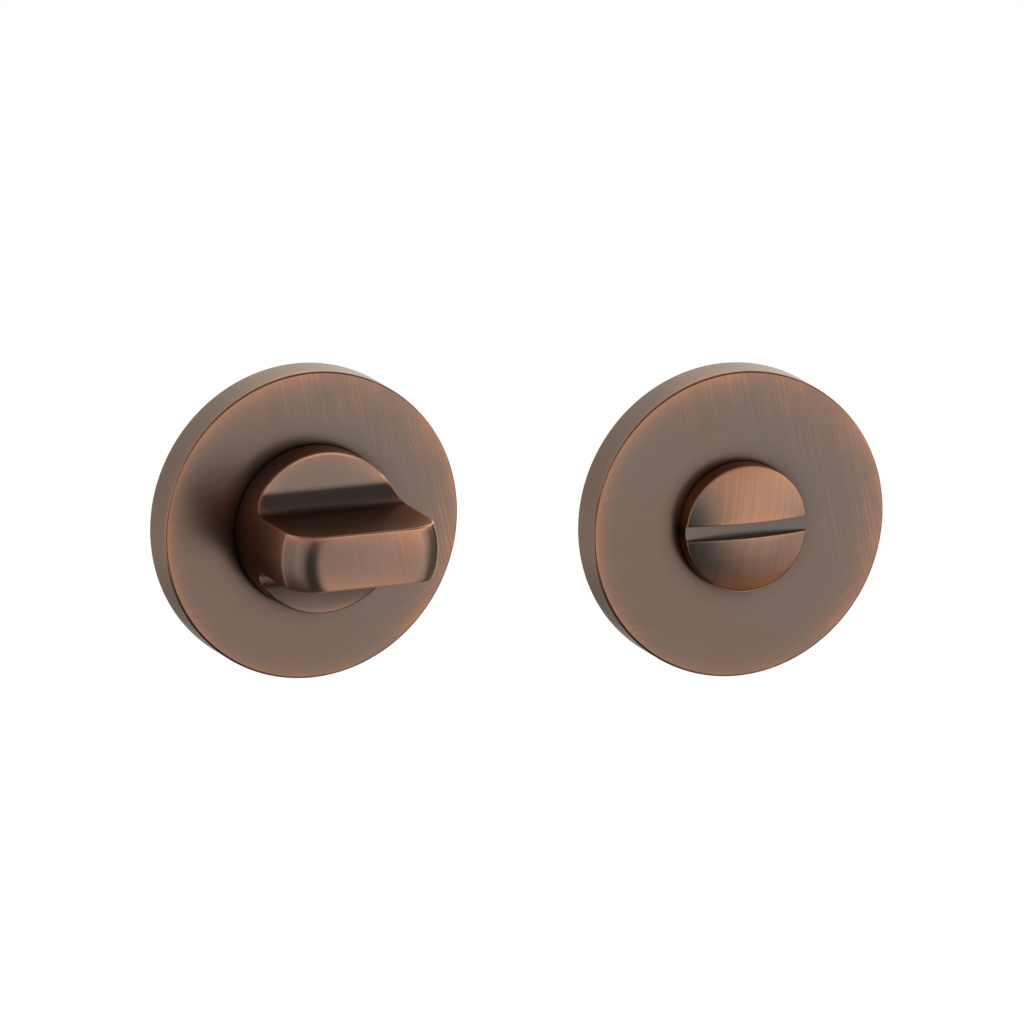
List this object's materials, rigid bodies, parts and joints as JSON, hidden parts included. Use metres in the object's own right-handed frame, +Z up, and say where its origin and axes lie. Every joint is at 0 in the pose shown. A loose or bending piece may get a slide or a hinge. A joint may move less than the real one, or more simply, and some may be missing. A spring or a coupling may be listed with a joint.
{
  "type": "bathroom thumb turn lock",
  "caption": "Bathroom door lock set on slim round roses: a scooped thumb turn with a square spindle, and a domed disc with a coin slot for emergency release.",
  "frame": {"origin": "middle of the thumb turn's back, on its turning axis and in the plane of the door's face", "axes": "+Z up, fronts towards -Y, +X from the thumb turn to the release half"},
  "size_m": [0.1283, 0.0769, 0.059],
  "materials": {
    "head_copper": "antique copper plate, brushed by hand and lacquered, bright at the edges",
    "rose_copper": "antique copper plate, finely brushed, copper showing through near the rim",
    "base_nylon": "moulded glass-filled nylon, black, fine matt skin",
    "bush_acetal": "moulded acetal, natural white",
    "zinc_steel": "drawn steel, bright zinc plate",
    "spring_steel": "hardened spring steel, oiled black"
  },
  "bodies": {
    "roses": {"turn_rose_cover": "rose_copper", "turn_bush": "bush_acetal", "turn_spring_washer": "spring_steel", "turn_plain_washer": "zinc_steel", "turn_cover_ring": "spring_steel", "turn_base_plate": "base_nylon", "release_rose_cover": "rose_copper", "release_bush": "bush_acetal", "release_spring_washer": "spring_steel", "release_plain_washer": "zinc_steel", "release_cover_ring": "spring_steel", "release_post_left": "zinc_steel", "release_post_right": "zinc_steel", "release_base_plate": "base_nylon"},
    "turn": {"turn_thumb_knob": "head_copper", "turn_stop_pin": "spring_steel", "turn_spindle": "zinc_steel", "turn_spindle_pin": "spring_steel", "turn_circlip": "spring_steel"},
    "release": {"release_coin_disc": "head_copper", "release_stop_pin": "spring_steel", "release_circlip": "spring_steel"}
  },
  "joints": [
    {"name": "thumb_quarter_turn", "type": "hinge", "parent": "roses", "child": "turn", "pos_m": [0, 0, 0], "axis": [0, 1, 0], "range_deg": [0, 90]},
    {"name": "release_quarter_turn", "type": "hinge", "parent": "roses", "child": "release", "pos_m": [0.0763, 0, -0.007], "axis": [0, -1, 0], "range_deg": [0, 90]}
  ]
}
